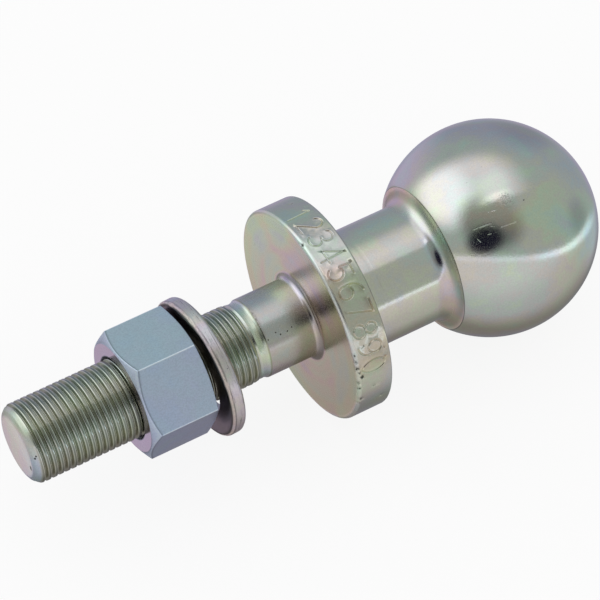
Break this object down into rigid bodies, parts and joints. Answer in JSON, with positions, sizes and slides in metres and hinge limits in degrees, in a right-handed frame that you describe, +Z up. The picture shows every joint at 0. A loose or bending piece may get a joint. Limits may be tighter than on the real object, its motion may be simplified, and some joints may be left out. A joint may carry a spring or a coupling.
{
  "type": "threaded tow ball",
  "caption": "Steel tow ball with a round flange and a threaded shank, carrying its hex nut and split spring washer, lying as set down.",
  "frame": {"origin": "centre of the ball", "axes": "+Z up as the part lies on the ground, resting on its ball and on the flange's back edge; the stem runs towards -X, rising 0.68 degrees to its threaded end; +Y completes the set"},
  "size_m": [0.1469, 0.051, 0.0511],
  "materials": {
    "plated_body": "satin zinc plate with a pale yellow-green and pink passivate",
    "plated_nut": "satin blue-grey zinc plate, fine grain",
    "plated_washer": "satin zinc plate, a little pink, scuffed edges"
  },
  "bodies": {
    "tow_ball": {"tow_ball": "plated_body"},
    "spring_washer": {"spring_washer": "plated_washer"},
    "hex_nut": {"hex_nut": "plated_nut"}
  },
  "joints": [
    {"name": "washer_slide", "type": "slide", "parent": "tow_ball", "child": "spring_washer", "axis": [-0.9999, 0, 0.0119], "range_m": [-0.01435, 0.0248]},
    {"name": "nut_turn", "type": "hinge", "parent": "spring_washer", "child": "hex_nut", "pos_m": [-0.08747, 0, 0.00104], "axis": [-0.9999, 0, 0.0119], "range_deg": [-3240, 5600]}
  ],
  "couplings": [
    {"joint": "washer_slide", "follows": "nut_turn", "m_per_rad": 0.00025266}
  ]
}
